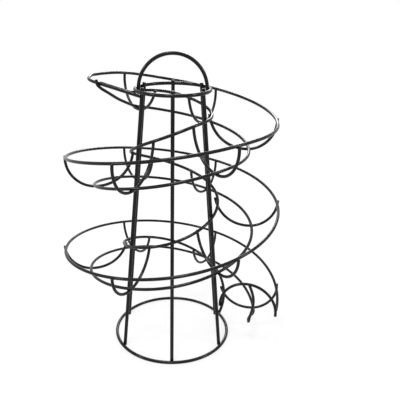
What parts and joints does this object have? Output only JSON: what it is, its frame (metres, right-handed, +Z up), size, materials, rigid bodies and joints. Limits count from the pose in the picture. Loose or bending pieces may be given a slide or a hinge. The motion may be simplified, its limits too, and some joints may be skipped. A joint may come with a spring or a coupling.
{
  "type": "spiral wire egg rack",
  "caption": "Spiral wire rack: a splayed tower of posts carries a winding wire trough, with a loop handle on top and an arch across the exit.",
  "frame": {"origin": "on the floor plane at the tower's axis, in the middle of the base ring's flat underside", "axes": "+Z up along the tower's axis, +X to the exit side, -Y to the front of the picture"},
  "size_m": [0.2031, 0.1962, 0.2645],
  "materials": {
    "black_wire": "black satin powder coat over steel wire"
  },
  "bodies": {
    "root": {"base_ring": "black_wire", "top_ring": "black_wire", "handle_hoop": "black_wire", "outer_rail": "black_wire", "inner_rail": "black_wire", "bottom_rail": "black_wire", "end_arch": "black_wire", "post_back_right": "black_wire", "post_back": "black_wire", "post_back_left": "black_wire", "post_front_left": "black_wire", "post_front": "black_wire", "post_front_right": "black_wire", "cradle_rib_01": "black_wire", "cradle_rib_02": "black_wire", "cradle_rib_03": "black_wire", "cradle_rib_04": "black_wire", "cradle_rib_05": "black_wire", "cradle_rib_06": "black_wire", "cradle_rib_07": "black_wire", "cradle_rib_08": "black_wire", "cradle_rib_09": "black_wire", "cradle_rib_10": "black_wire", "cradle_rib_11": "black_wire", "cradle_rib_12": "black_wire", "cradle_rib_13": "black_wire", "cradle_rib_14": "black_wire", "cradle_rib_15": "black_wire"}
  },
  "joints": []
}
